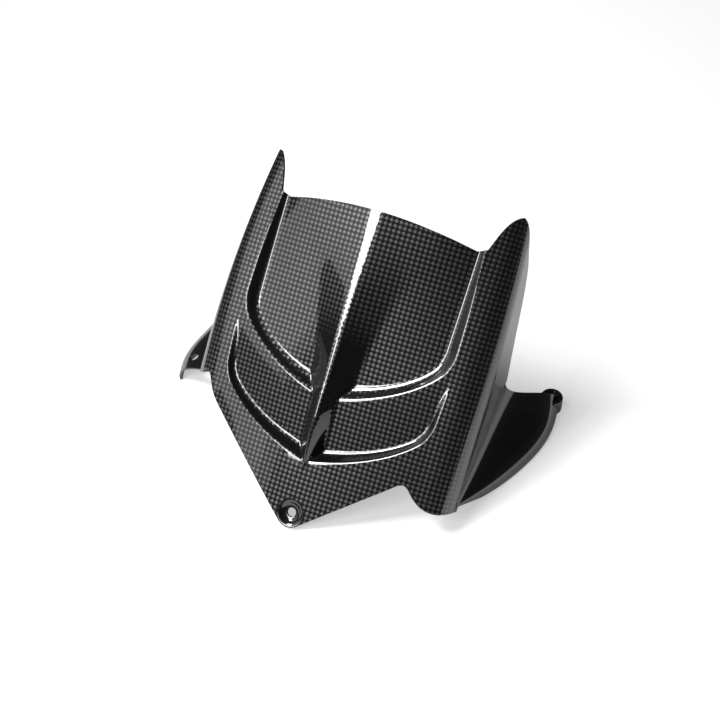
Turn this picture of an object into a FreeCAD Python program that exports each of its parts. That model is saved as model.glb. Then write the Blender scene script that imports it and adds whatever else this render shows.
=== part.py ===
import FreeCAD, Part
import math
import os

os.makedirs("parts", exist_ok=True)

Vec = FreeCAD.Vector

# Rear fender of a motorcycle, one moulded sheet of woven laminate, in millimetres.
# The sheet is drawn flat first: x across, y from the front bolt hole toward the rear,
# z out of the sheet. At the end it is leaned back and set down on its wings.

# Skin and lean
skin = 2.0
spine_skin = 2.8
lean_deg = 47.0
table_below_hole = 10.7

# Main sizes: from the front bolt hole to the rear edge, and half the width over the flanks
sheet_length = 217.0
flank_half = 105.0

# Outer bulk: where its cross sections start and end, and how many there are
bulk_front = -25.0
bulk_rear = sheet_length + 33.0
bulk_steps = 11

# Flanks: the crest is a long arc, the half width narrows to the rear
crest_top = -10.8
crest_place = 95.0
crest_radius = 830.0
flank_taper_radius = 1250.0
shoulder_width = 20.0
shoulder_drop = 20.0
shoulder_fall = 0.16

# Height of the crown on the centre line at the front hole, at the upper step and at the rear
crown_front = 1.5
crown_step = -4.0
crown_step_place = 120.0
crown_rear = 5.5
bulk_foot = -140.0

# Both recessed panels: the foot of the sloping wall is a chevron with a point on the centre line,
# a pull point for the curved arm, a corner and a rear end. The lip is the same line moved outward
# by its shifts and up by its rises.
panel_rear = sheet_length + 45.0

# Upper panel
upper_apex = 90.5
upper_pull = (45.0, 102.0)
upper_corner = (flank_half - 30.0, 128.0)
upper_side = (flank_half - 34.7, panel_rear)
upper_foot_front = -10.3
upper_foot_rear = -23.5
upper_bend_reach = 12.0
upper_lip_forward = 8.0
upper_pull_shift = (3.0, -5.5)
upper_corner_shift = (5.6, -6.5)
upper_side_shift = (5.5, 0.0)
upper_rise_front = 6.7
upper_rise_rear = 4.5

# Upper panel floor: height on the centre line and drop at the edge, front and rear
floor_half = 100.0
upper_floor_front = (80.0, -11.0, 4.9)
upper_floor_back = (panel_rear, 3.7, 48.4)

# Lower panel
lower_apex = 44.5
lower_pull = (46.0, 55.0)
lower_corner = (flank_half - 30.0, 78.5)
lower_side = (flank_half - 29.0, 160.0)
lower_foot_front = -8.9
lower_foot_rear = -20.0
lower_bend_reach = 10.0
lower_lip_forward = 8.0
lower_pull_shift = (4.0, -9.0)
lower_corner_shift = (5.5, -3.0)
lower_side_shift = (3.5, 0.0)
lower_rise_front = 8.4
lower_rise_rear = 5.0

# Lower panel floor, a long flat arch
lower_floor_radius = 313.0
lower_floor_front = (50.0, -8.05)
lower_floor_back = (230.0, 13.55)

# The walls are carried on below the foot and above the lip, in shares of the wall
wall_below_foot = -1.0
wall_above_lip = 6.0

# Spine: distance along, ridge height, half width of its foot, half width of the land on top,
# fall of its sides
spine_nose = (33.0, -1.2, 5.0, 0.4, 1.30)
spine_front = (50.0, 3.2, 8.4, 0.7, 1.38)
spine_waist = (95.0, 5.2, 15.0, 1.4, 1.05)
spine_mid = (132.0, 5.3, 20.4, 2.2, 0.68)
spine_rear = (172.0, 3.4, 26.0, 3.5, 0.36)
spine_tail = (sheet_length + 5.0, -0.4, 33.0, 5.0, 0.20)
spine_sections = (spine_nose, spine_front, spine_waist, spine_mid, spine_rear, spine_tail)
spine_sink = 6.0
spine_foot = -45.0

# Front tab with its bolt hole in a round dish
hole_radius = 3.3
dish_radius = 9.0
dish_floor = -2.4
dish_mouth_radius = 15.0
dish_height = 12.0
tab_end_radius = 10.5
hole_reach = 15.0

# Plan outline from the tab to the lobe, right side
tab_edge_end = (flank_half - 42.5, 38.5)
notch_floor = (flank_half - 35.0, 43.0)
lobe_inner = (flank_half - 27.5, 36.5)
lobe_tip = (flank_half - 11.0, 29.5)
lobe_outer = (flank_half + 11.0, 40.0)

# Cut-back of the flank on the left side
left_edge_end = (27.0 - flank_half, 54.5)
left_notch_side = (20.5 - flank_half, 62.0)
left_notch_top = (10.5 - flank_half, 75.3)
left_notch_out = (2.5 - flank_half, 70.0)
left_flank_front = (-11.0 - flank_half, 70.0)

# Rear edge and fins
rear_edge_corner = (flank_half - 34.5, sheet_length - 7.5)
fin_root = (flank_half - 27.5, sheet_length - 4.5)
fin_inner = (flank_half - 24.5, sheet_length + 5.0)
fin_shoulder = (flank_half - 19.8, sheet_length + 16.0)
fin_tip = (flank_half - 14.5, sheet_length + 22.0)
fin_outer = (flank_half + 11.0, sheet_length + 24.0)

# Lower edge of the flanks, seen from the side
edge_tip = (sheet_length + 24.5, -30.0)
edge_turn = (sheet_length + 21.0, -34.5)
edge_bend = (sheet_length + 6.5, -43.6)
edge_rear = (sheet_length - 6.5, -55.0)
edge_low = (sheet_length - 24.0, -62.3)
edge_mid = (157.0, -69.3)
edge_wing = (127.0, -80.0)
edge_lobe = (38.0, -37.5)

# The trimming blocks reach this far past the sheet
keep_top = 70.0
trim_margin = 80.0

# Boss at the rear end of the right wing, standing upright
boss_outward = 27.3
boss_from_hole = 176.4
boss_radius = 8.5
boss_top = 12.0

# Wings: skins that leave the flanks near their lower edge and swell out to rims on the table.
# Each drops down the flank and bows up by a share of its width. Rim points: outward from the
# flank, from the foot of the front hole to the rear, above the table.
root_above_edge = 6.0
root_skin = 1.0
bow_place = 0.35
rim_height = 5.0
right_drop_share = 0.34
right_bow_share = 0.12
left_drop_share = 0.10
left_bow_share = 0.30
right_rim = (
    (1.5, 53.0, 9.0),
    (18.0, 87.5, 1.5),
    (31.0, 122.0, 0.0),
    (36.0, 153.0, 0.0),
    (boss_outward + 5.2, boss_from_hole + 5.6, 0.0),
)
left_rim = ((32.0, 86.0, 0.0), (35.9, 106.0, 0.0), (27.0, 134.0, 0.0))

# Pad with a bolt hole on the left wing: place along and across the wing, in shares from its front
# and from its root, the share over which the wing's slope is taken, and how far the face stands out
pad_along = 0.20
pad_across = 0.65
pad_probe = 0.1
pad_stand = 0.3
pad_radius = 6.5
pad_depth = 6.0

# From the foot of the front hole to the middle of the part's length
middle_from_hole = 89.97


def wire_of(edges):
    return Part.Wire(Part.__sortEdges__(edges))


def line(a, b):
    return Part.LineSegment(a, b).toShape()


def curve(points):
    smooth = Part.BSplineCurve()
    smooth.interpolate([Vec(*p) for p in points])
    return smooth.toShape()


def pull_curve(poles):
    bent = Part.BezierCurve()
    bent.setPoles(poles)
    return bent.toShape()


def crest_height(along):
    return crest_top - (along - crest_place) ** 2 / (2 * crest_radius)


def half_width(along):
    behind = max(0.0, along - crest_place)
    return flank_half - behind ** 2 / (2 * flank_taper_radius)


def crown_height(along):
    if along < crown_step_place:
        return crown_front + (crown_step - crown_front) * along / crown_step_place
    return crown_step + (crown_rear - crown_step) * (along - crown_step_place) / (bulk_rear - crown_step_place)


def bulk(inset):
    """Solid under the outer surface, without panels or spine."""
    wires = []
    for step in range(bulk_steps + 1):
        along = bulk_front + (bulk_rear - bulk_front) * step / bulk_steps
        side = half_width(along) - inset
        start = side - shoulder_width
        top = crest_height(along) - inset
        crown_pull = 2 * (crown_height(along) - inset) - top
        turn = top - shoulder_fall * shoulder_width
        wall_top = turn - shoulder_drop
        foot = bulk_foot - inset

        def place(x, z):
            return Vec(x, along, z)

        edges = [
            pull_curve([place(-start, top), place(0, crown_pull), place(start, top)]),
            pull_curve([place(start, top), place(side, turn), place(side, wall_top)]),
            line(place(side, wall_top), place(side, foot)),
            line(place(side, foot), place(-side, foot)),
            line(place(-side, foot), place(-side, wall_top)),
            pull_curve([place(-side, wall_top), place(-side, turn), place(-start, top)]),
        ]
        wires.append(Part.Wire(edges))
    return Part.makeLoft(wires, True, True)


def panel_wire(apex, pull, corner, rear, apex_level, rear_level, reach):
    """Closed chevron outline: two curved arms, two rounded corners, two sides and a rear line."""
    fall = (rear_level - apex_level) / (rear[1] - apex)

    def place(x, y):
        return Vec(x, y, apex_level + fall * (y - apex))

    def mirror(p):
        return Vec(-p.x, p.y, p.z)

    centre = place(0, apex)
    arm_pull = place(*pull)
    bend = place(*corner)
    back = place(*rear)
    arm_end = bend + (arm_pull - bend).normalize() * reach
    side_start = bend + (back - bend).normalize() * reach
    edges = [
        pull_curve([centre, arm_pull, arm_end]),
        pull_curve([arm_end, bend, side_start]),
        line(side_start, back),
        line(back, mirror(back)),
        line(mirror(back), mirror(side_start)),
        pull_curve([mirror(side_start), mirror(bend), mirror(arm_end)]),
        pull_curve([mirror(arm_end), mirror(arm_pull), centre]),
    ]
    return Part.Wire(edges)


def moved(point, shift, share):
    return (point[0] + shift[0] * share, point[1] + shift[1] * share)


def panel_space(line_at, inset):
    """Space over a recessed panel, between its wall's outline far below the foot and far above the lip."""
    wires = []
    for share in (wall_below_foot, wall_above_lip):
        wire = panel_wire(*line_at(share))
        wire.translate(Vec(0, 0, -inset))
        wires.append(wire)
    return Part.makeLoft(wires, True, True)


def upper_line(share):
    """Outline of the upper panel's wall, from 0 at the foot to 1 at the lip."""
    apex = upper_apex - upper_lip_forward * share
    pull = moved(upper_pull, upper_pull_shift, share)
    corner = moved(upper_corner, upper_corner_shift, share)
    side = moved(upper_side, upper_side_shift, share)
    front = upper_foot_front + upper_rise_front * share
    rear = upper_foot_rear + upper_rise_rear * share
    return apex, pull, corner, side, front, rear, upper_bend_reach


def lower_line(share):
    """Outline of the lower panel's wall, from 0 at the foot to 1 at the lip."""
    apex = lower_apex - lower_lip_forward * share
    pull = moved(lower_pull, lower_pull_shift, share)
    corner = moved(lower_corner, lower_corner_shift, share)
    side = moved(lower_side, lower_side_shift, share)
    front = lower_foot_front + lower_rise_front * share
    rear = lower_foot_rear + lower_rise_rear * share
    return apex, pull, corner, side, front, rear, lower_bend_reach


def upper_floor(inset):
    """Block under the upper panel: nearly flat in front, roofed at the rear edge."""
    wires = []
    for along, middle, drop in (upper_floor_front, upper_floor_back):
        edge = middle - drop - inset
        pull = middle + drop - inset
        foot = bulk_foot - inset

        def place(x, z):
            return Vec(x, along, z)

        edges = [
            pull_curve([place(-floor_half, edge), place(0, pull), place(floor_half, edge)]),
            line(place(floor_half, edge), place(floor_half, foot)),
            line(place(floor_half, foot), place(-floor_half, foot)),
            line(place(-floor_half, foot), place(-floor_half, edge)),
        ]
        wires.append(Part.Wire(edges))
    return Part.makeLoft(wires, True, True)


def lower_floor(inset):
    start = Vec(0, lower_floor_front[0], lower_floor_front[1] - lower_floor_radius - inset)
    end = Vec(0, lower_floor_back[0], lower_floor_back[1] - lower_floor_radius - inset)
    run = end - start
    return Part.makeCylinder(lower_floor_radius, run.Length, start, run)


def spine(inset):
    """Wedge ridge that grows out of the rear edge and ends in a point at the tab."""
    wires = []
    drop = inset * spine_skin / skin
    for along, ridge, half, land, slope in spine_sections:
        crest = ridge - drop
        out = half + spine_sink
        low = crest - (out - land) * slope
        base = spine_foot - drop

        def place(x, z):
            return Vec(x, along, z)

        corners = [
            place(-land, crest), place(land, crest), place(out, low), place(out, base),
            place(-out, base), place(-out, low), place(-land, crest),
        ]
        wires.append(Part.makePolygon(corners))
    return Part.makeLoft(wires, True, False)


def dish(inset):
    floor = Vec(0, 0, dish_floor - inset)
    return Part.makeCone(dish_radius + inset, dish_mouth_radius + inset, dish_height, floor)


def body(inset):
    """Everything under the sheet's outer surface, drawn in by the inset."""
    upper = panel_space(upper_line, inset)
    lower = panel_space(lower_line, inset)
    solid = bulk(inset)
    solid = solid.cut(lower.cut(lower_floor(inset)))
    solid = solid.cut(upper.cut(upper_floor(inset)))
    solid = solid.fuse(spine(inset))
    return solid.cut(dish(inset))


def tangent_point(outside):
    """Point where a straight edge from outside touches the rounded end of the tab."""
    reach = math.hypot(outside[0], outside[1])
    heading = math.atan2(outside[1], outside[0])
    swing = math.acos(tab_end_radius / reach)
    side = -1 if outside[0] > 0 else 1
    angle = heading + side * swing
    return Vec(tab_end_radius * math.cos(angle), tab_end_radius * math.sin(angle), 0)


def flat(point):
    return Vec(point[0], point[1], 0)


def mirrored(point):
    return (-point[0], point[1])


def flat_curve(points):
    return curve([(x, y, 0) for x, y in points])


def plan_outline():
    """The sheet's outline seen square on, as a block to keep."""
    right_touch = tangent_point(tab_edge_end)
    left_touch = tangent_point(left_edge_end)
    fin = [fin_root, fin_inner, fin_shoulder, fin_tip, fin_outer]
    rear = Part.Arc(flat(rear_edge_corner), Vec(0, sheet_length, 0), flat(mirrored(rear_edge_corner)))
    left_notch = [left_edge_end, left_notch_side, left_notch_top, left_notch_out, left_flank_front]
    edges = [
        Part.Arc(left_touch, Vec(0, -tab_end_radius, 0), right_touch).toShape(),
        line(right_touch, flat(tab_edge_end)),
        flat_curve([tab_edge_end, notch_floor, lobe_inner, lobe_tip, lobe_outer]),
        line(flat(lobe_outer), flat(fin_outer)),
        flat_curve(fin),
        line(flat(fin_root), flat(rear_edge_corner)),
        rear.toShape(),
        line(flat(mirrored(rear_edge_corner)), flat(mirrored(fin_root))),
        flat_curve([mirrored(p) for p in fin]),
        line(flat(mirrored(fin_outer)), flat(left_flank_front)),
        flat_curve(left_notch),
        line(flat(left_edge_end), left_touch),
    ]
    face = Part.Face(wire_of(edges))
    face.translate(Vec(0, 0, bulk_foot))
    return face.extrude(Vec(0, 0, keep_top - bulk_foot))


def side_outline():
    """What hangs below the lower edge of the flanks, as a block to take away."""
    half = flank_half + trim_margin
    edge = [edge_lobe, edge_wing, edge_mid, edge_low, edge_rear, edge_bend, edge_turn, edge_tip]
    front = (edge_lobe[0] - trim_margin, edge_lobe[1])
    rear = (edge_tip[0] + trim_margin, edge_tip[1])
    deep = bulk_foot - trim_margin
    edges = [
        line(Vec(-half, *front), Vec(-half, *edge_lobe)),
        line(Vec(-half, *edge_lobe), Vec(-half, *edge_wing)),
        curve([(-half, y, z) for y, z in edge[1:]]),
        line(Vec(-half, *edge_tip), Vec(-half, *rear)),
        line(Vec(-half, *rear), Vec(-half, rear[0], deep)),
        line(Vec(-half, rear[0], deep), Vec(-half, front[0], deep)),
        line(Vec(-half, front[0], deep), Vec(-half, *front)),
    ]
    return Part.Face(wire_of(edges)).extrude(Vec(2 * half, 0, 0))


def below_table():
    size = 2 * bulk_rear
    return Part.makeBox(size, size, trim_margin, Vec(-bulk_rear, -bulk_rear, -trim_margin))


def to_table(across, along, height):
    """A point of the flat drawing after the sheet is leaned back on the table."""
    lean = math.radians(lean_deg)
    back = along * math.cos(lean) - height * math.sin(lean)
    up = along * math.sin(lean) + height * math.cos(lean)
    return Vec(across, back, up + table_below_hole)


def edge_height(along):
    """Height of the flank's lower edge where the wings leave it."""
    share = (along - edge_lobe[0]) / (edge_wing[0] - edge_lobe[0])
    return edge_lobe[1] + (edge_wing[1] - edge_lobe[1]) * share


def wing_line(shape, share):
    """Poles of the wing's outer curve from the flank to the rim's top, at a share of its length."""
    side, front_along, rim, drop_share, bow_share = shape
    place = share * (len(rim) - 1)
    first = min(int(place), len(rim) - 2)
    a, b = Vec(*rim[first]), Vec(*rim[first + 1])
    rim_point = a + (b - a) * (place - first)
    top = Vec(side * (flank_half + rim_point.x), rim_point.y, rim_point.z + rim_height)
    along = front_along + (edge_wing[0] - front_along) * share
    across = side * (flank_half - (skin - root_skin) / 2)
    root = to_table(across, along, edge_height(along) + root_above_edge)
    chord = top - root
    outward = Vec(chord.x, chord.y, 0).normalize()
    square = outward * -chord.z + Vec(0, 0, chord.dot(outward))
    pull = root - Vec(0, 0, chord.Length * drop_share)
    swell = top - chord * bow_place + square * bow_share
    return root, pull, swell, top


def wing(shape):
    """Skin that leaves the flank along its wall, swells outward and turns down at its rim."""
    wires = []
    last = len(shape[2]) - 1
    for step in range(last + 1):
        root, pull, swell, top = wing_line(shape, step / last)
        foot = top - Vec(0, 0, rim_height)
        inward = Vec(root.x - top.x, root.y - top.y, 0).normalize()
        slope = (swell - top).normalize()
        level = slope.dot(inward)
        under = inward * slope.z - Vec(0, 0, level)
        top_inside = top + (inward - Vec(0, 0, level / (1 + slope.z))) * skin
        root_inside = root + inward * root_skin
        pull_inside = pull + inward * skin
        foot_inside = foot + inward * skin
        edges = [
            line(foot, top),
            pull_curve([top, swell, pull, root]),
            line(root, root_inside),
            pull_curve([root_inside, pull_inside, swell + under * skin, top_inside]),
            line(top_inside, foot_inside),
            line(foot_inside, foot),
        ]
        wires.append(Part.Wire(edges))
    return Part.makeLoft(wires, True, False)


def pad_face(shape):
    """Middle and outward direction of the pad's face on a wing."""
    def at(along, across):
        return pull_curve(list(wing_line(shape, along))).valueAt(across)

    middle = at(pad_along, pad_across)
    ahead = at(pad_along + pad_probe, pad_across) - at(pad_along - pad_probe, pad_across)
    outward = at(pad_along, pad_across + pad_probe) - at(pad_along, pad_across - pad_probe)
    square = outward.cross(ahead).normalize() * shape[0]
    return middle + square * pad_stand, square


sheet = body(0.0).cut(body(skin))
sheet = sheet.common(plan_outline())
sheet = sheet.cut(side_outline())
sheet = sheet.cut(Part.makeCylinder(hole_radius, 2 * hole_reach, Vec(0, 0, -hole_reach)))
sheet.rotate(Vec(0, 0, 0), Vec(1, 0, 0), lean_deg)
sheet.translate(Vec(0, 0, table_below_hole))

right_shape = (1, edge_lobe[0], right_rim, right_drop_share, right_bow_share)
left_shape = (-1, left_notch_out[1], left_rim, left_drop_share, left_bow_share)
right_wing = wing(right_shape)
left_wing = wing(left_shape)
boss_foot = Vec(flank_half + boss_outward, boss_from_hole, 0)
boss_face = boss_foot + Vec(0, 0, boss_top)
boss = Part.makeCylinder(boss_radius, boss_top, boss_foot)
right_wing = right_wing.cut(Part.makeCylinder(boss_radius, boss_top + rim_height, boss_face))
pad_top, pad_axis = pad_face(left_shape)
pad = Part.makeCylinder(pad_radius, pad_depth, pad_top, pad_axis * -1)
left_wing = left_wing.cut(Part.makeCylinder(pad_radius, pad_depth, pad_top, pad_axis))

fender = sheet.fuse([right_wing, left_wing, boss, pad])
fender = fender.cut(Part.makeCylinder(hole_radius, boss_top, boss_foot))
fender = fender.cut(Part.makeCylinder(hole_radius, 2 * pad_depth, pad_top, pad_axis * -1))
fender = fender.cut(below_table())
fender.translate(Vec(0, -middle_from_hole, 0))
fender.exportStep("parts/fender_shell.step")
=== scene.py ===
# %% [markdown]
# The part is a rear fender: one thin moulded sheet of carbon cloth under a clear gloss coat.
# A gloss surface shows every facet as a broken reflection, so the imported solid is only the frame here.
# The sheet is made again from the same sizes, as a fine mesh whose normals come from the rule itself.

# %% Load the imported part
import math

import bpy
import numpy as np
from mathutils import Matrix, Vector
from mathutils.geometry import delaunay_2d_cdt


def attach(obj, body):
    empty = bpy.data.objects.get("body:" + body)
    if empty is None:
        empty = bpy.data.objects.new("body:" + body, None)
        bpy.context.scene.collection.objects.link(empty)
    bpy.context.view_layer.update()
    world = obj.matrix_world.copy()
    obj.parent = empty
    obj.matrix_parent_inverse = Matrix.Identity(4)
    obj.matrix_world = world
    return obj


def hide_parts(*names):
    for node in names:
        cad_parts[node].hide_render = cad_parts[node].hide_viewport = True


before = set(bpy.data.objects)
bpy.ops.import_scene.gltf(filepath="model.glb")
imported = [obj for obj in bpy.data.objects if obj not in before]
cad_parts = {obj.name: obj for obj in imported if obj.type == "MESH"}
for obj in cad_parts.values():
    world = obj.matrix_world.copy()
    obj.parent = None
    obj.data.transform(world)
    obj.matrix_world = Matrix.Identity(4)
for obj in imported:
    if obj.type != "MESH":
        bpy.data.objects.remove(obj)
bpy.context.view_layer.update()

# %% [markdown]
# The sheet is drawn flat, in millimetres: x across, y from the front bolt hole to the rear, z out of the
# sheet. At the end it is leaned back and set on the table. The main sizes are the solid's own. The tab's
# bend, the dish and the rear end of the spine differ from it a little, to follow the reflections on the
# real sheet.

# %% Sizes of the sheet
skin = 2.0
lean = math.radians(47.0)
table_below_hole = 10.7
middle_from_hole = 89.97
sheet_length = 217.0

crest_top, crest_place, crest_radius = -10.8, 95.0, 830.0
flank_half, flank_taper_radius = 105.0, 1250.0
shoulder_width, shoulder_drop, shoulder_fall = 20.0, 20.0, 0.16
crown_front, crown_step, crown_step_place = 1.5, -4.0, 120.0
crown_rear, crown_rear_place = 5.5, 250.0
tab_bend, tab_bend_from, tab_bend_round = 0.048, 58.0, 6.0

# %% [markdown]
# Corners between two faces are rounded by a soft minimum or maximum: near the crossing the two heights
# are blended by a parabola, which is close to the radius that a mould gives. The tab bends down a little, so
# that it mirrors the dark below the front lamp.

# %% Soft corners and the bulk's cross section
def soft_max(a, b, width):
    near = np.maximum(width - np.abs(a - b), 0.0) / width
    return np.maximum(a, b) + near * near * width / 4


def soft_min(a, b, width):
    return -soft_max(-a, -b, width)


def crest_height(along):
    return crest_top - (along - crest_place) ** 2 / (2 * crest_radius)


def half_width(along):
    return flank_half - np.maximum(0.0, along - crest_place) ** 2 / (2 * flank_taper_radius)


def crown_height(along):
    front = crown_front + (crown_step - crown_front) * along / crown_step_place
    front = front - tab_bend * soft_max(tab_bend_from - along, 0.0, tab_bend_round)
    share = (along - crown_step_place) / (crown_rear_place - crown_step_place)
    return np.where(along < crown_step_place, front, crown_step + (crown_rear - crown_step) * share)


def shoulder_z(share):
    """Drop from the crest along the shoulder's bend."""
    turn = shoulder_fall * shoulder_width
    return -2 * turn * share * (1 - share) - (turn + shoulder_drop) * share ** 2


bend_share = np.linspace(0, 1, 400)
bend_x = shoulder_width * (2 * bend_share - bend_share ** 2)
bend_z = shoulder_z(bend_share)
bend_arc = np.concatenate([[0], np.cumsum(np.hypot(np.diff(bend_x), np.diff(bend_z)))])
bend_length = bend_arc[-1]
blend_reach = 6.0
join_slack = blend_reach - np.interp(blend_reach, bend_x, bend_arc)
print("shoulder bend is", round(bend_length, 2), "mm long")

# %% [markdown]
# The two sunken panels share one plan shape: a chevron whose arms are bowed, with a rounded corner and
# straight sides. The foot of each sloping wall is that line, so a point's distance to it gives the wall's
# height. In the mould these are two raised blocks, with sloping sides so that the sheet comes off.

# %% Panel outlines
def bezier(a, b, c, count):
    t = np.linspace(0, 1, count)[:, None]
    return (1 - t) ** 2 * np.array(a) + 2 * t * (1 - t) * np.array(b) + t ** 2 * np.array(c)


def chevron(apex, pull, corner, rear, reach):
    centre = np.array((0.0, apex))
    pull, corner, rear = np.array(pull), np.array(corner), np.array(rear)
    arm_end = corner + (pull - corner) / np.linalg.norm(pull - corner) * reach
    side_start = corner + (rear - corner) / np.linalg.norm(rear - corner) * reach
    arm = bezier(centre, pull, arm_end, 90)
    bend = bezier(arm_end, corner, side_start, 30)[1:]
    side = np.linspace(side_start, rear, 80)[1:]
    return np.concatenate([arm, bend, side])


upper_apex, upper_end = 90.5, 262.0
lower_apex, lower_end = 44.5, 160.0
upper_foot = chevron(upper_apex, (45.0, 102.0), (75.0, 128.0), (70.3, upper_end), 12.0)
lower_foot = chevron(lower_apex, (46.0, 55.0), (75.0, 78.5), (76.0, lower_end), 10.0)
upper_wall_slope, lower_wall_slope = 0.86, 1.12


def distance_to(line, x, y):
    """Signed distance from a panel's foot line, negative inside the panel."""
    x = np.abs(x)
    best = np.full(x.shape, 1e9)
    sign = np.ones(x.shape)
    for a, b in zip(line[:-1], line[1:]):
        run = b - a
        t = np.clip(((x - a[0]) * run[0] + (y - a[1]) * run[1]) / (run @ run), 0, 1)
        gap_x, gap_y = x - a[0] - t * run[0], y - a[1] - t * run[1]
        gap = gap_x ** 2 + gap_y ** 2
        nearer = gap < best
        best = np.where(nearer, gap, best)
        sign = np.where(nearer, np.where(run[0] * gap_y - run[1] * gap_x > 0, -1.0, 1.0), sign)
    return sign * np.sqrt(best)


# %% [markdown]
# The upper floor is bowed across, more so toward the rear, and the lower floor is part of a cylinder. The
# spine has a flat land between two sloping sides. It is narrow and steep in front, and wide and shallow at
# the rear.

# %% Panel floors, walls and the spine
foot_round, lip_round = 3.4, 1.6
upper_floor_from, upper_floor_front, upper_floor_rear = 80.0, -11.0, 3.7
upper_bow_front, upper_bow_rear, bow_half = 4.9, 48.4, 100.0
upper_wall_front, upper_wall_rear = -10.3, -23.5
lower_floor_from, lower_floor_front, lower_floor_rise, lower_floor_radius = 50.0, -8.05, 0.12, 313.0
lower_wall_front, lower_wall_rear = -8.9, -20.0


def ramp(along, y0, v0, y1, v1):
    return v0 + (v1 - v0) * (along - y0) / (y1 - y0)


def upper_panel(x, y):
    middle = ramp(y, upper_floor_from, upper_floor_front, upper_end, upper_floor_rear)
    bow = ramp(y, upper_floor_from, upper_bow_front, upper_end, upper_bow_rear)
    foot_height = ramp(y, upper_apex, upper_wall_front, upper_end, upper_wall_rear)
    wall = foot_height + upper_wall_slope * distance_to(upper_foot, x, y)
    return soft_max(middle - bow * (x / bow_half) ** 2, wall, foot_round)


def lower_panel(x, y):
    middle = lower_floor_front + lower_floor_rise * (y - lower_floor_from)
    bow = lower_floor_radius - np.sqrt(lower_floor_radius ** 2 - x ** 2)
    foot_height = ramp(y, lower_apex, lower_wall_front, lower_end, lower_wall_rear)
    wall = foot_height + lower_wall_slope * distance_to(lower_foot, x, y)
    return soft_max(middle - bow, wall, foot_round)


spine_along = np.array((33.0, 50.0, 95.0, 132.0, 172.0, 222.0))
spine_ridge = np.array((-1.2, 3.2, 5.2, 5.3, 3.6, 1.2))
spine_land = np.array((0.4, 0.7, 1.4, 2.2, 3.5, 5.0))
spine_slope = np.array((1.30, 1.38, 1.05, 0.68, 0.36, 0.20))
spine_reach, spine_foot_round = 45.0, 1.2
land_round, land_round_by_slope = 0.25, 0.5


def smooth_through(xs, ys, at):
    """Natural cubic curve through the points."""
    n, h = len(xs), np.diff(xs)
    system, right = np.eye(n), np.zeros(n)
    for i in range(1, n - 1):
        system[i, i - 1:i + 2] = h[i - 1], 2 * (h[i - 1] + h[i]), h[i]
        right[i] = 6 * ((ys[i + 1] - ys[i]) / h[i] - (ys[i] - ys[i - 1]) / h[i - 1])
    bend = np.linalg.solve(system, right)
    i = np.clip(np.searchsorted(xs, at) - 1, 0, n - 2)
    a, b, w = xs[i + 1] - at, at - xs[i], h[i]
    cubic = (bend[i] * a ** 3 + bend[i + 1] * b ** 3) / (6 * w)
    return cubic + (ys[i] / w - bend[i] * w / 6) * a + (ys[i + 1] / w - bend[i + 1] * w / 6) * b


def spine(x, y):
    ridge = smooth_through(spine_along, spine_ridge, y)
    land = smooth_through(spine_along, spine_land, y)
    slope = smooth_through(spine_along, spine_slope, y)
    side = ridge - slope * (np.abs(x) - land)
    return soft_min(ridge + 0 * x, side, land_round + land_round_by_slope * slope)


# %% [markdown]
# All the shapes together give one height for each place on the crown. The dish round the front hole is a
# shallow cone. Past the crown, the sheet follows the shoulder's bend and then the straight flank.

# %% Height of the sheet
dish_floor, dish_radius, dish_slope = -4.0, 5.6, 0.95
dish_foot_round, dish_lip_round, dish_zone = 1.6, 1.4, 20.0
past_most = 0.98


def crown_surface(x, y):
    """The bulk before panels and spine, with the crown run smoothly into the shoulder."""
    top, start = crest_height(y), half_width(y) - shoulder_width
    crown, across = crown_height(y), np.abs(x)
    arch = crown + (top - crown) * (across / start) ** 2
    reach = np.clip((across - start) / shoulder_width, -1, past_most)
    past = np.clip(reach, 0, 1)
    shoulder = top + shoulder_z(1 - np.sqrt(1 - past))
    a, b = start - blend_reach, blend_reach / shoulder_width
    share_b = 1 - math.sqrt(1 - b)
    z_a = crown + (top - crown) * (a / start) ** 2
    s_a = 2 * (top - crown) * a / start ** 2
    turn = shoulder_fall * shoulder_width
    z_b = top + shoulder_z(share_b)
    s_b = (-2 * turn - 2 * shoulder_drop * share_b) / (2 * shoulder_width * (1 - share_b))
    t, width = np.clip((across - a) / (2 * blend_reach), 0, 1), 2 * blend_reach
    bridge = ((2 * t ** 3 - 3 * t ** 2 + 1) * z_a + (t ** 3 - 2 * t ** 2 + t) * width * s_a
              + (3 * t ** 2 - 2 * t ** 3) * z_b + (t ** 3 - t ** 2) * width * s_b)
    return np.where(across < a, arch, np.where(across > start + blend_reach, shoulder, bridge))


def sheet_height(x, y):
    z = crown_surface(x, y)
    z = soft_min(z, lower_panel(x, y), lip_round)
    z = soft_min(z, upper_panel(x, y), lip_round)
    z = np.where(np.abs(x) < spine_reach, soft_max(z, spine(x, y), spine_foot_round), z)
    reach = np.hypot(x, y)
    dish = soft_max(dish_floor + dish_slope * (reach - dish_radius), dish_floor + 0 * x, dish_foot_round)
    return np.where(reach < dish_zone, soft_min(z, dish, dish_lip_round), z)


def on_sheet(u, v, height):
    """Place for a point of the flat pattern: u across, measured over the shoulder, and v along."""
    start, top = half_width(v) - shoulder_width, crest_height(v)
    over = np.abs(u) - start
    arc = over - join_slack
    x_bend = np.interp(arc, bend_arc, bend_x) + start
    z_bend = np.interp(arc, bend_arc, bend_z) + top - np.maximum(arc - bend_length, 0)
    flat = over < blend_reach
    x = np.where(flat, u, np.sign(u) * x_bend)
    z = np.where(flat, height(np.where(flat, u, 0.0), v), z_bend)
    return np.stack([x, v + 0 * u, z], -1)


def normals_of(place, u, v, step):
    du = place(u + step, v) - place(u - step, v)
    dv = place(u, v + step) - place(u, v - step)
    n = np.cross(du, dv)
    return n / np.linalg.norm(n, axis=1)[:, None]


# %% [markdown]
# The edge of the sheet is drawn in the flat pattern, where it is one closed line: the tab, the notch and
# the lobe, the lower edge of the flank, the fin and the rear edge, then the other side.

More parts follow.
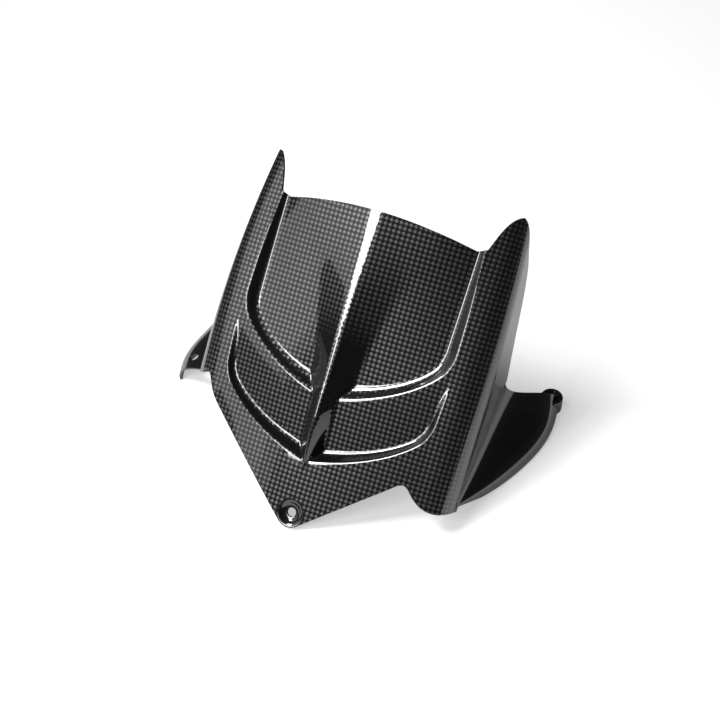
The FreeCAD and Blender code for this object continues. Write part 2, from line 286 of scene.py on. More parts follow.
# %% Outline in the flat pattern
def spline(points, count):
    points = np.array(points, float)
    steps = np.concatenate([[0], np.cumsum(np.linalg.norm(np.diff(points, axis=0), axis=1))])
    at = np.linspace(0, steps[-1], count)
    return np.stack([smooth_through(steps, points[:, k], at) for k in range(points.shape[1])], -1)


def across_of(x, along):
    """Pattern position of a plan point on the crown or the shoulder."""
    start = half_width(along) - shoulder_width
    past = np.clip((np.abs(x) - start) / shoulder_width, 0, 1)
    arc = np.interp(1 - np.sqrt(1 - past), bend_share, bend_arc)
    return np.where(np.abs(x) <= start + blend_reach, np.abs(x), start + arc + join_slack)


def across_at(z, along):
    """Pattern position of a point on the shoulder or the flank, from its height."""
    start, below = half_width(along) - shoulder_width, crest_height(along) - z
    arc = np.interp(below, -bend_z, bend_arc) + np.maximum(below + bend_z[-1], 0)
    return start + arc + join_slack


edge_lobe, edge_wing = (38.0, -37.5), (127.0, -80.0)
lower_edge_front = np.linspace(edge_lobe, edge_wing, 60)
lower_edge_rear = spline([edge_wing, (157.0, -69.3), (193.0, -62.3), (210.5, -55.0), (223.5, -43.6),
                          (238.0, -34.5), (241.5, -30.0)], 110)
fin = spline([(77.5, 212.5), (80.5, 222.0), (85.2, 233.0), (90.5, 239.0), (116.0, 241.0)], 120)
lobe = spline([(62.5, 38.5), (70.0, 43.0), (77.5, 36.5), (94.0, 29.5), (116.0, 40.0)], 130)
left_notch = spline([(78.0, 54.5), (84.5, 62.0), (94.5, 75.3), (102.5, 70.0), (116.0, 70.0)], 130)
tab_end_radius = 10.5
rear_corner_x, rear_corner_y = 70.5, 209.5
outline_step = 1.2


def touch_angle(outside):
    swing = math.acos(tab_end_radius / math.hypot(*outside))
    return math.atan2(outside[1], outside[0]) - swing


def half_outline(front):
    """One side from the tab to the middle of the rear edge, as pattern points with u positive."""
    touch = touch_angle(front[0])
    arc = np.linspace(-math.pi / 2, touch, 14)
    tab = np.stack([tab_end_radius * np.cos(arc), tab_end_radius * np.sin(arc)], -1)
    straight = np.linspace(tab[-1], front[0], 40)[1:-1]
    front = front[front[:, 0] < half_width(front[:, 1])]
    lobe_line = np.stack([across_of(front[:, 0], front[:, 1]), front[:, 1]], -1)
    wall_from = across_of(half_width(front[-1:, 1]), front[-1:, 1])[0]
    edge = lower_edge_front[lower_edge_front[:, 0] >= front[-1, 1] + 1]
    edge = np.concatenate([edge, lower_edge_rear[1:]])
    edge_line = np.stack([across_at(edge[:, 1], edge[:, 0]), edge[:, 0]], -1)
    wall = np.linspace((wall_from, front[-1, 1]), (edge_line[0, 0], front[-1, 1]), 14)
    fin_line = np.stack([across_of(fin[:, 0], fin[:, 1]), fin[:, 1]], -1)
    edge_across = np.interp(fin_line[:, 1], edge_line[:, 1], edge_line[:, 0])
    fin_line = fin_line[:np.argmax(fin_line[:, 0] > edge_across)][::-1]
    edge_line = edge_line[edge_line[:, 1] < fin_line[0, 1]]
    bow = sheet_length - rear_corner_y
    radius = (bow ** 2 + rear_corner_x ** 2) / (2 * bow)
    rear_x = np.linspace(rear_corner_x, 0, 50)
    rear = np.stack([rear_x, sheet_length - radius + np.sqrt(radius ** 2 - rear_x ** 2)], -1)
    return np.concatenate([tab, straight, lobe_line, wall[1:-1], edge_line, fin_line, rear])


def even_line(line, spacing, closed=False):
    """The same line with points at even steps."""
    if closed:
        line = np.concatenate([line, line[:1]])
    steps = np.concatenate([[0], np.cumsum(np.linalg.norm(np.diff(line, axis=0), axis=1))])
    at = np.linspace(0, steps[-1], int(steps[-1] / spacing) + 1)
    at = at[:-1] if closed else at
    return np.stack([np.interp(at, steps, line[:, k]) for k in range(line.shape[1])], -1)


right_half, left_half = half_outline(lobe), half_outline(left_notch)
outline = np.concatenate([right_half, (left_half * (-1, 1))[::-1][1:-1]])
outline = even_line(outline, outline_step, True)
print("outline has", len(outline), "points, flat size", np.ptp(outline, axis=0).round(1), "mm")

# %% [markdown]
# The pattern is filled with triangles. Lines that follow the panels' feet and lips and the spine go in as
# fixed edges, so the narrow rounded corners are met by rows of points and their reflections run clean.

# %% Lines to keep in the mesh
def side_of(line, at):
    run = np.gradient(line, axis=0)
    run /= np.linalg.norm(run, axis=1)[:, None]
    moved = line + np.stack([run[:, 1], -run[:, 0]], -1) * np.asarray(at)[:, None]
    return np.maximum(moved, (0.02, -1e9))


lip_reach_most, halvings = 14.0, 24


def lip_distance(line, panel):
    """How far out the wall meets the sheet, for each point of a panel's foot."""
    low, high = np.zeros(len(line)), np.full(len(line), lip_reach_most)
    for _ in range(halvings):
        middle = (low + high) / 2
        p = side_of(line, middle)
        over = panel(p[:, 0], p[:, 1]) > crown_surface(p[:, 0], p[:, 1])
        low, high = np.where(over, low, middle), np.where(over, middle, high)
    return (low + high) / 2


upper_rows_end, lower_rows_end, row_step = 226.0, 112.0, 1.3
foot_rows, lip_rows = np.linspace(-3.6, 2.4, 16), np.linspace(-1.6, 2.0, 10)
land_rows, land_rows_from, least_across = (-0.45, -0.15, 0.15, 0.45), 33.5, 0.05
kept_lines = []
for foot, panel, rows_end in ((upper_foot, upper_panel, upper_rows_end),
                              (lower_foot, lower_panel, lower_rows_end)):
    foot = even_line(foot[foot[:, 1] < rows_end], row_step)
    lip = lip_distance(foot, panel)
    kept_lines += [side_of(foot, np.full(len(foot), offset)) for offset in foot_rows]
    kept_lines += [side_of(foot, lip + offset) for offset in lip_rows]
ridge_steps = np.linspace(land_rows_from, upper_rows_end, 130)
land = smooth_through(spine_along, spine_land, ridge_steps)
for offset in land_rows:
    kept_lines.append(np.stack([np.maximum(land + offset, least_across), ridge_steps], -1))
print(len(kept_lines), "kept lines on each side")

# %% Fill a pattern with triangles
cell_size, least_gap_squared, triangle_height = 2, 0.8, 0.866


def inside_loop(loop, p):
    x, y = p[:, 0], p[:, 1]
    odd = np.zeros(len(p), bool)
    for a, b in zip(loop, np.roll(loop, -1, 0)):
        crosses = (a[1] > y) != (b[1] > y)
        at = a[0] + (y - a[1]) / (b[1] - a[1] + 1e-12) * (b[0] - a[0])
        odd ^= crosses & (x < at)
    return odd


def ring(middle, radius, count):
    turn = np.linspace(0, 2 * math.pi, count + 1)[:-1]
    return np.stack([middle[0] + radius * np.cos(turn), middle[1] + radius * np.sin(turn)], -1)


def cell_of(p):
    return int(p[0] // cell_size), int(p[1] // cell_size)


def fill_pattern(outline, holes, closed_lines, open_lines, spacing):
    """Triangles inside the outline and outside the holes, with the lines kept as edges."""
    points, edges = [], []
    loops = [outline, *holes, *closed_lines]
    for line, closed in [(loop, True) for loop in loops] + [(line, False) for line in open_lines]:
        first = len(points)
        points.extend(line.tolist())
        edges.extend((first + i, first + i + 1) for i in range(len(line) - 1))
        if closed:
            edges.append((first + len(line) - 1, first))
    near = {}
    for p in points:
        near.setdefault(cell_of(p), []).append(p)
    low, high = outline.min(0), outline.max(0)
    fill = []
    for i, v in enumerate(np.arange(low[1], high[1], spacing * triangle_height)):
        fill += [(u + (i % 2) * spacing / 2, v) for u in np.arange(low[0], high[0], spacing)]
    fill = np.array(fill)
    for p in fill[inside_loop(outline, fill)]:
        column, row = cell_of(p)
        cells = [(column + a, row + b) for a in (-1, 0, 1) for b in (-1, 0, 1)]
        around = [q for cell in cells for q in near.get(cell, ())]
        if all((q[0] - p[0]) ** 2 + (q[1] - p[1]) ** 2 > least_gap_squared for q in around):
            points.append(p.tolist())
    made = delaunay_2d_cdt([Vector(p) for p in points], edges, [], 0, 1e-6, False)
    pattern, faces = np.array([(p.x, p.y) for p in made[0]]), np.array(made[2])
    middles = pattern[faces].mean(1)
    keep = inside_loop(outline, middles)
    for hole in holes:
        keep &= ~inside_loop(hole, middles)
    faces = faces[keep]
    origin = pattern[faces[:, 0]]
    side_a, side_b = pattern[faces[:, 1]] - origin, pattern[faces[:, 2]] - origin
    turn = side_a[:, 0] * side_b[:, 1] - side_a[:, 1] * side_b[:, 0]
    return pattern, np.where((turn > 0)[:, None], faces, faces[:, ::-1])


hole_radius = 3.3
mirror_lines = [line * (-1, 1) for line in kept_lines]
dish_rings = [ring((0, 0), r, 72) for r in (4.6, 5.4, 6.2, 7.0, 7.7, 8.3, 8.8, 9.3, 9.8)]
front_hole = ring((0, 0), hole_radius, 48)
sheet_spacing = 2.2
pattern, faces = fill_pattern(outline, [front_hole], dish_rings, kept_lines + mirror_lines, sheet_spacing)
print("pattern:", len(pattern), "points,", len(faces), "triangles")

# %% [markdown]
# The flat pattern is laid on the rule. The underside is the same pattern moved in by the skin, and a rounded
# rim joins the two along the edge and round the hole, so the sheet is closed and has a real thickness.

# %% A closed skin from a pattern
rim_steps = [math.radians(a) for a in (30, 60, 90, 120, 150)]
rim_round, mm_per_uv = 0.45, 100.0


def closed_skin(name, pattern, faces, outer, outer_normal, inner):
    """Outer face, underside and rounded rim as one closed mesh, with the rule's own normals."""
    sides = np.concatenate([faces[:, (0, 1)], faces[:, (1, 2)], faces[:, (2, 0)]]).tolist()
    present = {tuple(s) for s in sides}
    border = [(a, b) for a, b in present if (b, a) not in present]
    after = dict(border)
    before = {b: a for a, b in border}
    count, rows = len(pattern), len(rim_steps)
    rim_points, rim_normals, first_row = [], [], {}
    for i in after:
        through, along = inner[i] - outer[i], outer[after[i]] - outer[before[i]]
        out = np.cross(along, -through)
        out /= np.linalg.norm(out)
        first_row[i] = 2 * count + len(rim_points)
        for angle in rim_steps:
            down, back = (1 - math.cos(angle)) / 2, rim_round * (math.sin(angle) - 1)
            rim_points.append(outer[i] + through * down + out * back)
            rim_normals.append(-through / np.linalg.norm(through) * math.cos(angle) + out * math.sin(angle))

    def row(i, k):
        return i if k < 0 else count + i if k == rows else first_row[i] + k

    polygons = faces.tolist() + (faces[:, ::-1] + count).tolist()
    for a, b in border:
        polygons += [(row(b, k), row(a, k), row(a, k + 1), row(b, k + 1)) for k in range(-1, rows)]
    points = np.concatenate([outer, inner, rim_points])
    normals = np.concatenate([outer_normal, -outer_normal, rim_normals])
    cloth = np.concatenate([pattern, pattern, np.repeat([pattern[i] for i in after], rows, axis=0)])
    used = np.zeros(len(points), bool)
    used[np.concatenate([np.array(p) for p in polygons])] = True
    place = np.cumsum(used) - 1
    polygons = [tuple(int(place[i]) for i in p) for p in polygons]
    return mesh_piece(name, points[used] / 1000, polygons, normals[used], cloth[used])


def mesh_piece(name, points, polygons, normals, cloth):
    mesh = bpy.data.meshes.new(name)
    mesh.from_pydata(points.tolist(), [], polygons)
    layer = mesh.uv_layers.new(name="Cloth")
    corner = np.zeros(len(mesh.loops), np.int32)
    mesh.loops.foreach_get("vertex_index", corner)
    layer.data.foreach_set("uv", (cloth[corner, :2] / mm_per_uv).astype(np.float32).ravel())
    # A third column carries each point's share of painted shade.
    if cloth.shape[1] > 2:
        painted_shade_places = mesh.attributes.new("Painted_Shade", "FLOAT", "POINT")
        painted_shade_places.data.foreach_set("value", cloth[:, 2].astype(np.float32))
    mesh.polygons.foreach_set("use_smooth", [True] * len(mesh.polygons))
    mesh.normals_split_custom_set_from_vertices(normals.tolist())
    piece = bpy.data.objects.new(name, mesh)
    bpy.context.scene.collection.objects.link(piece)
    return piece


# %% [markdown]
# The steep walls, the dish and the flanks get little light on the real sheet and look plain and black.
# Each point therefore gets a share of painted shade: by its tilt, its place across and its distance from
# the front hole. There the weave fades to the darker tow colour, which paints that shade.

# %% Lay the pattern on the sheet
probe = 0.02
wall_tilt_from, wall_tilt_full = 0.09, 0.20
flank_shade_from, flank_shade_full = 98.0, 112.0
dish_shade_from, dish_shade_full = 11.0, 9.0


def leaned(p):
    x, y, z = p[:, 0], p[:, 1], p[:, 2]
    c, s = math.cos(lean), math.sin(lean)
    return np.stack([x, y * c - z * s, y * s + z * c], -1)


to_table = np.array((0.0, -middle_from_hole, table_below_hole))


def smooth_step(value, start, end):
    share = np.clip((value - start) / (end - start), 0, 1)
    return share * share * (3 - 2 * share)


def place_sheet(u, v):
    return leaned(on_sheet(u, v, sheet_height)) + to_table


def place_bulk(u, v):
    return leaned(on_sheet(u, v, crown_surface)) + to_table


u, v = pattern[:, 0], pattern[:, 1]
outer = place_sheet(u, v)
outer_normal = normals_of(place_sheet, u, v, probe)
bulk_normal = normals_of(place_bulk, u, v, probe)
inner = outer - skin * bulk_normal
tilt = 1 - (outer_normal * bulk_normal).sum(1)
# Share of painted shade: by steep tilt, by place far out across, and near the front hole.
painted_shade_share = np.maximum.reduce([smooth_step(tilt, wall_tilt_from, wall_tilt_full),
                               smooth_step(np.abs(u), flank_shade_from, flank_shade_full),
                               smooth_step(np.hypot(u, v), dish_shade_from, dish_shade_full)])
marked_pattern = np.column_stack([pattern, painted_shade_share])
shell = closed_skin("fender_sheet", marked_pattern, faces, outer, outer_normal, inner)
print("sheet:", len(shell.data.vertices), "points,", len(shell.data.polygons), "faces")

# %% [markdown]
# A trimmed laminate gets a bead of clear coat along its cut edge, which rounds it. The bead follows the edge
# all the way round, so a node tree sweeps a small circle along that path. Its radius is an input of the
# tree.

# %% Edge bead
def edge_path(faces, outer, inner):
    """Middle of the sheet's edge, in order round the outline."""
    sides = np.concatenate([faces[:, (0, 1)], faces[:, (1, 2)], faces[:, (2, 0)]])
    sides = {tuple(side) for side in sides.tolist()}
    after = {a: b for a, b in sides if (b, a) not in sides}
    loop = [max(after, key=lambda i: outer[i, 2])]
    while after[loop[-1]] != loop[0]:
        loop.append(after[loop[-1]])
    along = outer[np.roll(loop, -1)] - outer[np.roll(loop, 1)]
    out = np.cross(along, outer[loop] - inner[loop])
    out /= np.linalg.norm(out, axis=1)[:, None]
    return (outer[loop] + inner[loop]) / 2 - out * skin / 2


def bead_tree():
    tree = bpy.data.node_groups.new("edge_bead", "GeometryNodeTree")
    tree.interface.new_socket("Geometry", in_out="INPUT", socket_type="NodeSocketGeometry")
    tree.interface.new_socket("Bead Radius", in_out="INPUT", socket_type="NodeSocketFloat")
    tree.interface.new_socket("Bead Sides", in_out="INPUT", socket_type="NodeSocketInt")
    tree.interface.new_socket("Finish", in_out="INPUT", socket_type="NodeSocketMaterial")
    tree.interface.new_socket("Geometry", in_out="OUTPUT", socket_type="NodeSocketGeometry")
    kinds = ("NodeGroupInput", "GeometryNodeCurvePrimitiveCircle", "GeometryNodeCurveToMesh",
             "GeometryNodeRealizeInstances", "GeometryNodeSetMaterial", "NodeGroupOutput")
    given, circle, sweep, realize, finish, result = (tree.nodes.new(kind) for kind in kinds)
    for source, target in ((given.outputs["Bead Radius"], circle.inputs["Radius"]),
                           (given.outputs["Bead Sides"], circle.inputs["Resolution"]),
                           (given.outputs["Geometry"], sweep.inputs["Curve"]),
                           (circle.outputs["Curve"], sweep.inputs["Profile Curve"]),
                           (sweep.outputs["Mesh"], realize.inputs["Geometry"]),
                           (realize.outputs["Geometry"], finish.inputs["Geometry"]),
                           (given.outputs["Finish"], finish.inputs["Material"]),
                           (finish.outputs["Geometry"], result.inputs["Geometry"])):
        tree.links.new(source, target)
    return tree


def swept_bead(name, path, radius, sides, finish):
    curve = bpy.data.curves.new(name + "_path", "CURVE")
    curve.dimensions = "3D"
    line = curve.splines.new("POLY")
    line.points.add(len(path) - 1)
    line.points.foreach_set("co", np.column_stack([path / 1000, np.ones(len(path))]).ravel())
    line.use_cyclic_u = True
    carrier = bpy.data.objects.new(name + "_path", curve)
    bpy.context.scene.collection.objects.link(carrier)
    modifier = carrier.modifiers.new("bead", "NODES")
    modifier.node_group = bead_tree()
    values = {"Bead Radius": radius / 1000, "Bead Sides": sides, "Finish": finish}
    for item in modifier.node_group.interface.items_tree:
        if item.in_out == "INPUT" and item.name in values:
            modifier[item.identifier] = values[item.name]
    view = bpy.context.evaluated_depsgraph_get()
    mesh = bpy.data.meshes.new_from_object(carrier.evaluated_get(view), depsgraph=view)
    bpy.data.objects.remove(carrier)
    mesh.uv_layers.new(name="Cloth")
    mesh.polygons.foreach_set("use_smooth", [True] * len(mesh.polygons))
    piece = bpy.data.objects.new(name, mesh)
    bpy.context.scene.collection.objects.link(piece)
    return piece


bead_line = edge_path(faces, outer, inner)
print("edge is", round(float(np.linalg.norm(np.diff(bead_line, axis=0), axis=1).sum())), "mm long")

# %% [markdown]
# The wings leave the flanks along their walls, swell outward and turn down at a rim that stands on the
# table. Each cross section is a cubic curve from the flank to the rim's top, then a rounded corner and an
# upright.
# The right wing's rim grows from its front, where the flank's lower edge runs into it.

# %% Wings
rim_height, root_above_edge, bow_place = 5.0, 6.0, 0.35
right_rim = np.array(((1.5, 53.0, 9.0), (18.0, 87.5, 1.5), (31.0, 122.0, 0.0), (36.0, 153.0, 0.0),
                      (32.5, 182.0, 0.0)))
left_rim = np.array(((32.0, 86.0, 0.0), (35.9, 106.0, 0.0), (27.0, 134.0, 0.0)))
corner_from, corner_to, corner_share = 0.80, 0.92, 0.94
corner_drop, corner_drop_most = 0.25, 0.3
front_rim_share, rim_growth = 0.3, 5.0
inside_flank, wing_spacing, wing_edge_step, bend_inset = 0.05, 2.0, 1.2, 1.0
bend_rows = (0.79, 0.82, 0.85, 0.88, 0.905, 0.93)


def wing_place(side, front_along, rim, drop_share, bow_share, s, t):
    """Point of a wing: s from its front to its rear, t from the flank to the table, both from 0 to 1."""
    stations = np.linspace(0, 1, len(rim))
    x, y, z = (smooth_through(stations, rim[:, k], s) for k in range(3))
    top = np.stack([side * (flank_half + x), y, z + rim_height], -1)
    along = front_along + (edge_wing[0] - front_along) * s
    edge_height = np.interp(along, (edge_lobe[0], edge_wing[0]), (edge_lobe[1], edge_wing[1]))
    height = edge_height + root_above_edge
    flat = np.stack([side * (half_width(along) - inside_flank), along, height], -1)
    root = leaned(flat) + (0, 0, table_below_hole)
    chord = top - root
    length = np.linalg.norm(chord, axis=1)[:, None]
    outward = chord * (1, 1, 0)
    outward /= np.linalg.norm(outward, axis=1)[:, None]
    square = -outward * chord[:, 2:] + np.array((0, 0, 1)) * (chord * outward).sum(1)[:, None]
    drop = root - np.array((0, 0, 1)) * length * drop_share
    swell = top - chord * bow_place + square * bow_share

    def cubic(q):
        return (1 - q) ** 3 * root + 3 * q * (1 - q) ** 2 * drop + 3 * q * q * (1 - q) * swell + q ** 3 * top

    t = t[:, None]
    upright = top - np.array((0, 0, 1)) * np.minimum(corner_drop * rim_height, corner_drop_most * length)
    grown = np.clip(front_rim_share + rim_growth * s, front_rim_share, 1.0)[:, None]
    fall_share = grown if side > 0 else 1.0
    foot = top - np.array((0, 0, rim_height)) * fall_share
    bend = np.clip((t - corner_from) / (corner_to - corner_from), 0, 1)
    start = cubic(corner_share)
    corner = (1 - bend) ** 2 * start + 2 * bend * (1 - bend) * top + bend ** 2 * upright
    fall = upright + (foot - upright) * np.clip((t - corner_to) / (1 - corner_to), 0, 2)
    face = np.where(t < corner_to, corner, fall)
    face = np.where(t < corner_from, cubic(t / corner_from * corner_share), face)
    return face - (0, middle_from_hole, 0)


def wing_piece(name, shape, length, width, hole, front_run):
    """A wing from a flat pattern, with an optional round hole whose place is a share of length and width."""
    front = -front_run * length
    box = np.array(((front, 0), (length, 0), (length, width), (front, width)), float)
    holes = [] if hole is None else [ring((hole[0] * length, hole[1] * width), hole_radius, 36)]
    bends = [np.stack([np.linspace(bend_inset, length - bend_inset, 60), np.full(60, width * t)], -1)
             for t in bend_rows]
    pattern, faces = fill_pattern(even_line(box, wing_edge_step, True), holes, [], bends, wing_spacing)

    def place(u, v):
        return wing_place(*shape, u / length, v / width)

    u, v = pattern[:, 0], pattern[:, 1]
    outer = place(u, v)
    normal = normals_of(place, u, v, probe)
    if shape[0] > 0:
        faces = faces[:, ::-1]
        normal = -normal
    inner = outer - skin * normal
    inner[:, 2] = np.maximum(inner[:, 2], 0)
    return closed_skin(name, pattern, faces, outer, normal, inner)


right_drop, right_bow, left_drop, left_bow = 0.34, 0.12, 0.10, 0.30
right_length, right_width, right_front_run = 140.0, 60.0, 0.02
left_length, left_width, left_front_along, left_hole = 60.0, 48.0, 70.0, (0.20, 0.52)
right_shape = (1, edge_lobe[0], right_rim, right_drop, right_bow)
left_shape = (-1, left_front_along, left_rim, left_drop, left_bow)
right_wing = wing_piece("right_wing", right_shape, right_length, right_width, None, right_front_run)
left_wing = wing_piece("left_wing", left_shape, left_length, left_width, left_hole, 0.0)
print("wings:", len(right_wing.data.polygons), len(left_wing.data.polygons), "faces")

# %% [markdown]
# Boss: a short upright tube at the rear end of the right wing, for a bolt from above. It is a turned
# shape, so it is made from one profile carried round its axis.

# %% Boss
def turned_piece(name, profile, middle, axis, steps=48):
    """A closed ring shape from a closed profile of (radius, height) points."""
    profile = np.array(profile)
    axis = np.array(Vector(axis).normalized())
    side = np.array(Vector(axis).orthogonal().normalized())
    other = np.cross(axis, side)
    points = []
    for k in range(steps):
        a = 2 * math.pi * k / steps
        out = side * math.cos(a) + other * math.sin(a)
        points += [np.array(middle) + out * r + axis * h for r, h in profile]
    n = len(profile)
    polygons = []
    for k in range(steps):
        here, there = k * n, (k + 1) % steps * n
        polygons += [(here + i, there + i, there + (i + 1) % n, here + (i + 1) % n) for i in range(n)]
    mesh = bpy.data.meshes.new(name)
    mesh.from_pydata((np.array(points) / 1000).tolist(), [], polygons)
    mesh.uv_layers.new(name="Cloth")
    mesh.polygons.foreach_set("use_smooth", [True] * len(mesh.polygons))
    mesh.set_sharp_from_angle(angle=math.radians(35))
    piece = bpy.data.objects.new(name, mesh)
    bpy.context.scene.collection.objects.link(piece)
    return piece


boss_top, boss_radius, boss_round = 12.0, 8.5, 1.5
boss_x, boss_from_hole = 132.3, 176.4
sink_width, sink_depth = 2.2, 2.0
boss_profile = [(hole_radius, 0), (boss_radius, 0), (boss_radius, boss_top - boss_round),
                (boss_radius - boss_round / 3, boss_top - boss_round / 3),
                (boss_radius - boss_round, boss_top),
                (hole_radius + sink_width, boss_top), (hole_radius, boss_top - sink_depth)]
boss = turned_piece("boss", boss_profile, (boss_x, boss_from_hole - middle_from_hole, 0), (0, 0, 1))
print("boss:", len(boss.data.polygons), "faces")

# %% [markdown]
# Camera: the photograph looks down on the part at 47 degrees, turned 24.1 degrees from the front, with a
# lens of about 64 mm on a 36 mm frame.

# %% Camera
look_at = Vector((0.0, 0.0298, 0.04908))
away = Vector((0.2785, -0.6226, 0.7314))
camera_distance, camera_lens, camera_frame = 0.940, 64.4, 36.0
camera_data = bpy.data.cameras.new("camera")
camera_data.lens = camera_lens
camera_data.sensor_width = camera_frame
camera = bpy.data.objects.new("camera", camera_data)
bpy.context.scene.collection.objects.link(camera)
camera.location = look_at + away.normalized() * camera_distance
camera.rotation_euler = (-away).to_track_quat("-Z", "Y").to_euler()
bpy.context.scene.camera = camera

# %% [markdown]
# Cloth: a plain weave laid at 45 degrees to the spine. Each tow passes over one crossing tow and under the
# next, so a checked pattern says which one is on top, and each is rounded across its width. The tows shine
# like dull metal under a clear coat, so how bright they look depends on what they mirror. The tows of one
# direction are also given a lighter colour than the others: that is painted sheen, for the light they catch.

# %% Finish of the cloth
tow_width, tow_flatness, dip_flatness, tow_relief = 2.4, 5.0, 7.0, 0.00025
cloth_relief, plain_relief = 0.6, 0.05
tow_roughness, coat_roughness, coat_ior = 0.50, 0.03, 1.9
# The lighter tow colour is painted sheen on one tow direction; the darker one is close to the fibre's own
# colour.
tow_painted_sheen, tow_dark = (0.17, 0.17, 0.175, 1), (0.02, 0.02, 0.021, 1)
tow_gap = (0.004, 0.004, 0.004, 1)
# A darker, plain copy of the cloth's colours without the painted sheen, which paints shade on the wings and
# serves the boss and the edge bead too.
plain_shaded_bright, plain_shaded_dark = (0.03, 0.03, 0.032, 1), (0.02, 0.02, 0.021, 1)


class Nodes:
    """Short calls for shader nodes."""

    def __init__(self, tree):
        self.tree = tree

    def add(self, kind, **values):
        node = self.tree.nodes.new(kind)
        for name, value in values.items():
            setattr(node, name, value)
        return node

    def feed(self, socket, value):
        if hasattr(value, "is_output"):
            self.tree.links.new(value, socket)
        else:
            socket.default_value = value

    def math(self, operation, a, b=0.0, c=0.0):
        node = self.add("ShaderNodeMath", operation=operation)
        for socket, value in zip(node.inputs, (a, b, c)):
            self.feed(socket, value)
        return node.outputs[0]

    def mix(self, factor, a, b, data_type="FLOAT"):
        node = self.add("ShaderNodeMix", data_type=data_type)
        first = {"FLOAT": 2, "RGBA": 6}[data_type]
        self.feed(node.inputs[0], factor)
        self.feed(node.inputs[first], a)
        self.feed(node.inputs[first + 1], b)
        return node.outputs[{"FLOAT": 0, "RGBA": 2}[data_type]]


def carbon_cloth(name, bright, dark, relief):
    material = bpy.data.materials.new(name)
    material.use_nodes = True
    n = Nodes(material.node_tree)
    shader = material.node_tree.nodes["Principled BSDF"]
    place = n.add("ShaderNodeUVMap", uv_map="Cloth")
    split = n.add("ShaderNodeSeparateXYZ")
    n.feed(split.inputs[0], place.outputs[0])
    to_tows = mm_per_uv / (tow_width * math.sqrt(2))
    a = n.math("MULTIPLY", n.math("ADD", split.outputs[0], split.outputs[1]), to_tows)
    b = n.math("MULTIPLY", n.math("SUBTRACT", split.outputs[0], split.outputs[1]), to_tows)
    turn = n.math("FLOORED_MODULO", n.math("ADD", n.math("FLOOR", a), n.math("FLOOR", b)), 2.0)
    in_a, in_b = n.math("FRACT", a), n.math("FRACT", b)
    over = n.math("MULTIPLY_ADD", n.mix(turn, in_b, in_a), 2.0, -1.0)
    run = n.math("MULTIPLY_ADD", n.mix(turn, in_a, in_b), 2.0, -1.0)
    across = n.math("SUBTRACT", 1.0, n.math("POWER", n.math("ABSOLUTE", over), tow_flatness))
    dip = n.math("SUBTRACT", 1.0, n.math("POWER", n.math("ABSOLUTE", run), dip_flatness))
    height = n.math("MULTIPLY", across, dip)
    # The tows of one direction take the lighter colour, as painted sheen.
    tow = n.mix(turn, bright, dark, "RGBA")
    # Painted shade: where the mesh marks it, the weave fades to the darker colour.
    painted_shade_share = n.add("ShaderNodeAttribute", attribute_name="Painted_Shade")
    tow = n.mix(painted_shade_share.outputs["Fac"], tow, dark, "RGBA")
    n.feed(shader.inputs["Base Color"], n.mix(height, tow_gap, tow, "RGBA"))
    bump = n.add("ShaderNodeBump")
    bump.inputs["Strength"].default_value = relief
    bump.inputs["Distance"].default_value = tow_relief
    n.feed(bump.inputs["Height"], height)
    n.feed(shader.inputs["Normal"], bump.outputs[0])
    shader.inputs["Metallic"].default_value = 1.0
    shader.inputs["Roughness"].default_value = tow_roughness
    shader.inputs["Coat Weight"].default_value = 1.0
    shader.inputs["Coat Roughness"].default_value = coat_roughness
    shader.inputs["Coat IOR"].default_value = coat_ior
    return material


cloth = carbon_cloth("carbon_cloth", tow_painted_sheen, tow_dark, cloth_relief)
# The plain laminate is a shaded copy of the cloth: painted shade.
plain = carbon_cloth("plain_shaded_laminate", plain_shaded_bright, plain_shaded_dark, plain_relief)
shell.data.materials.append(cloth)
bead_inset, bead_sides = 0.02, 10
bead = swept_bead("edge_bead", bead_line, skin / 2 - bead_inset, bead_sides, plain)
print("bead:", len(bead.data.polygons), "faces, material", bead.data.materials[0].name)
for piece in (right_wing, left_wing, boss):
    piece.data.materials.append(plain)

# %% [markdown]
# Studio: a white table under the part, dark air above it, and lamps to the left and the front. The camera
# sees white past the table. The dark air keeps the right half and the wing black, as a gloss sheet looks.
# The table ends a little past the left wing, so that the left side of the spine doesn't mirror much of it.

# %% Floor
floor_left, floor_right, floor_reach = -0.32, 0.55, 0.9
camera_glow, mirror_glow, floor_grey = 0.50, 0.12, 0.85
floor_mesh = bpy.data.meshes.new("floor")
floor_corners = [(floor_left, -floor_reach, 0), (floor_right, -floor_reach, 0),
                 (floor_right, floor_reach, 0), (floor_left, floor_reach, 0)]
floor_mesh.from_pydata(floor_corners, [], [(0, 1, 2, 3)])
floor = bpy.data.objects.new("floor", floor_mesh)
bpy.context.scene.collection.objects.link(floor)
floor_material = bpy.data.materials.new("floor")
floor_material.use_nodes = True
n = Nodes(floor_material.node_tree)
floor_shader = floor_material.node_tree.nodes["Principled BSDF"]
floor_shader.inputs["Base Color"].default_value = (floor_grey, floor_grey, floor_grey, 1)
floor_shader.inputs["Roughness"].default_value = 1.0
floor_shader.inputs["Specular IOR Level"].default_value = 0.0
floor_shader.inputs["Emission Color"].default_value = (1, 1, 1, 1)
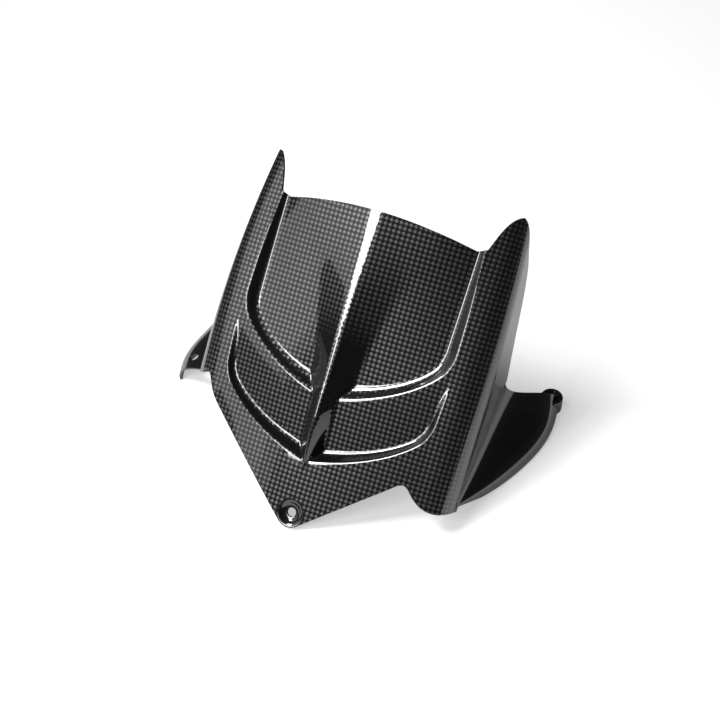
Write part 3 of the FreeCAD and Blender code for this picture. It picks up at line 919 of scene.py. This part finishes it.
seen = n.add("ShaderNodeLightPath")
to_camera = n.math("MULTIPLY", seen.outputs["Is Camera Ray"], camera_glow)
shown = n.math("MULTIPLY_ADD", seen.outputs["Is Glossy Ray"], mirror_glow, to_camera)
n.feed(floor_shader.inputs["Emission Strength"], shown)
floor.data.materials.append(floor_material)

# %% [markdown]
# Lamps: the tall strip in front is what the spine's land and the panels' edges mirror. Two large dim panels
# on the left give the upper left panel its haze, and the key overhead lights the table and makes the shadow.

# %% Lamps and world
def softbox(name, direction, distance, width, height, power, roll=0.0):
    light = bpy.data.lights.new(name, "AREA")
    light.shape = "RECTANGLE"
    light.size, light.size_y, light.energy = width, height, power
    lamp = bpy.data.objects.new(name, light)
    bpy.context.scene.collection.objects.link(lamp)
    towards = Vector(direction).normalized()
    lamp.location = look_at + towards * distance
    lamp.rotation_euler = towards.to_track_quat("Z", "Y").to_euler()
    lamp.rotation_euler.rotate_axis("Z", math.radians(roll))
    return lamp


softbox("strip", (-0.292, -0.7155, 0.6347), distance=1.5, width=0.32, height=0.66, power=6.4, roll=16)
softbox("left_soft", (-0.696, -0.402, 0.595), distance=1.8, width=1.7, height=1.2, power=2.0)
softbox("left_wide", (-0.668, -0.386, 0.636), distance=1.9, width=2.1, height=1.5, power=2.5)
softbox("key", (-0.45, -0.25, 0.86), distance=1.6, width=0.5, height=0.5, power=21)

world = bpy.data.worlds.new("studio")
bpy.context.scene.world = world
world.use_nodes = True
n = Nodes(world.node_tree)
sky = world.node_tree.nodes["Background"]
seen = n.add("ShaderNodeLightPath")
dark_air, white = (0.03, 0.03, 0.03, 1), (1, 1, 1, 1)
n.feed(sky.inputs["Color"], n.mix(seen.outputs["Is Camera Ray"], dark_air, white, "RGBA"))
bpy.context.scene.view_settings.view_transform = "Standard"

# %% [markdown]
# All five pieces stand for the one moulded shell and its laminate, because the real sheet is one piece.

# %% Give the pieces to the part
for piece in (shell, bead, right_wing, left_wing, boss):
    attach(piece, "root")
    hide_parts("fender_shell")
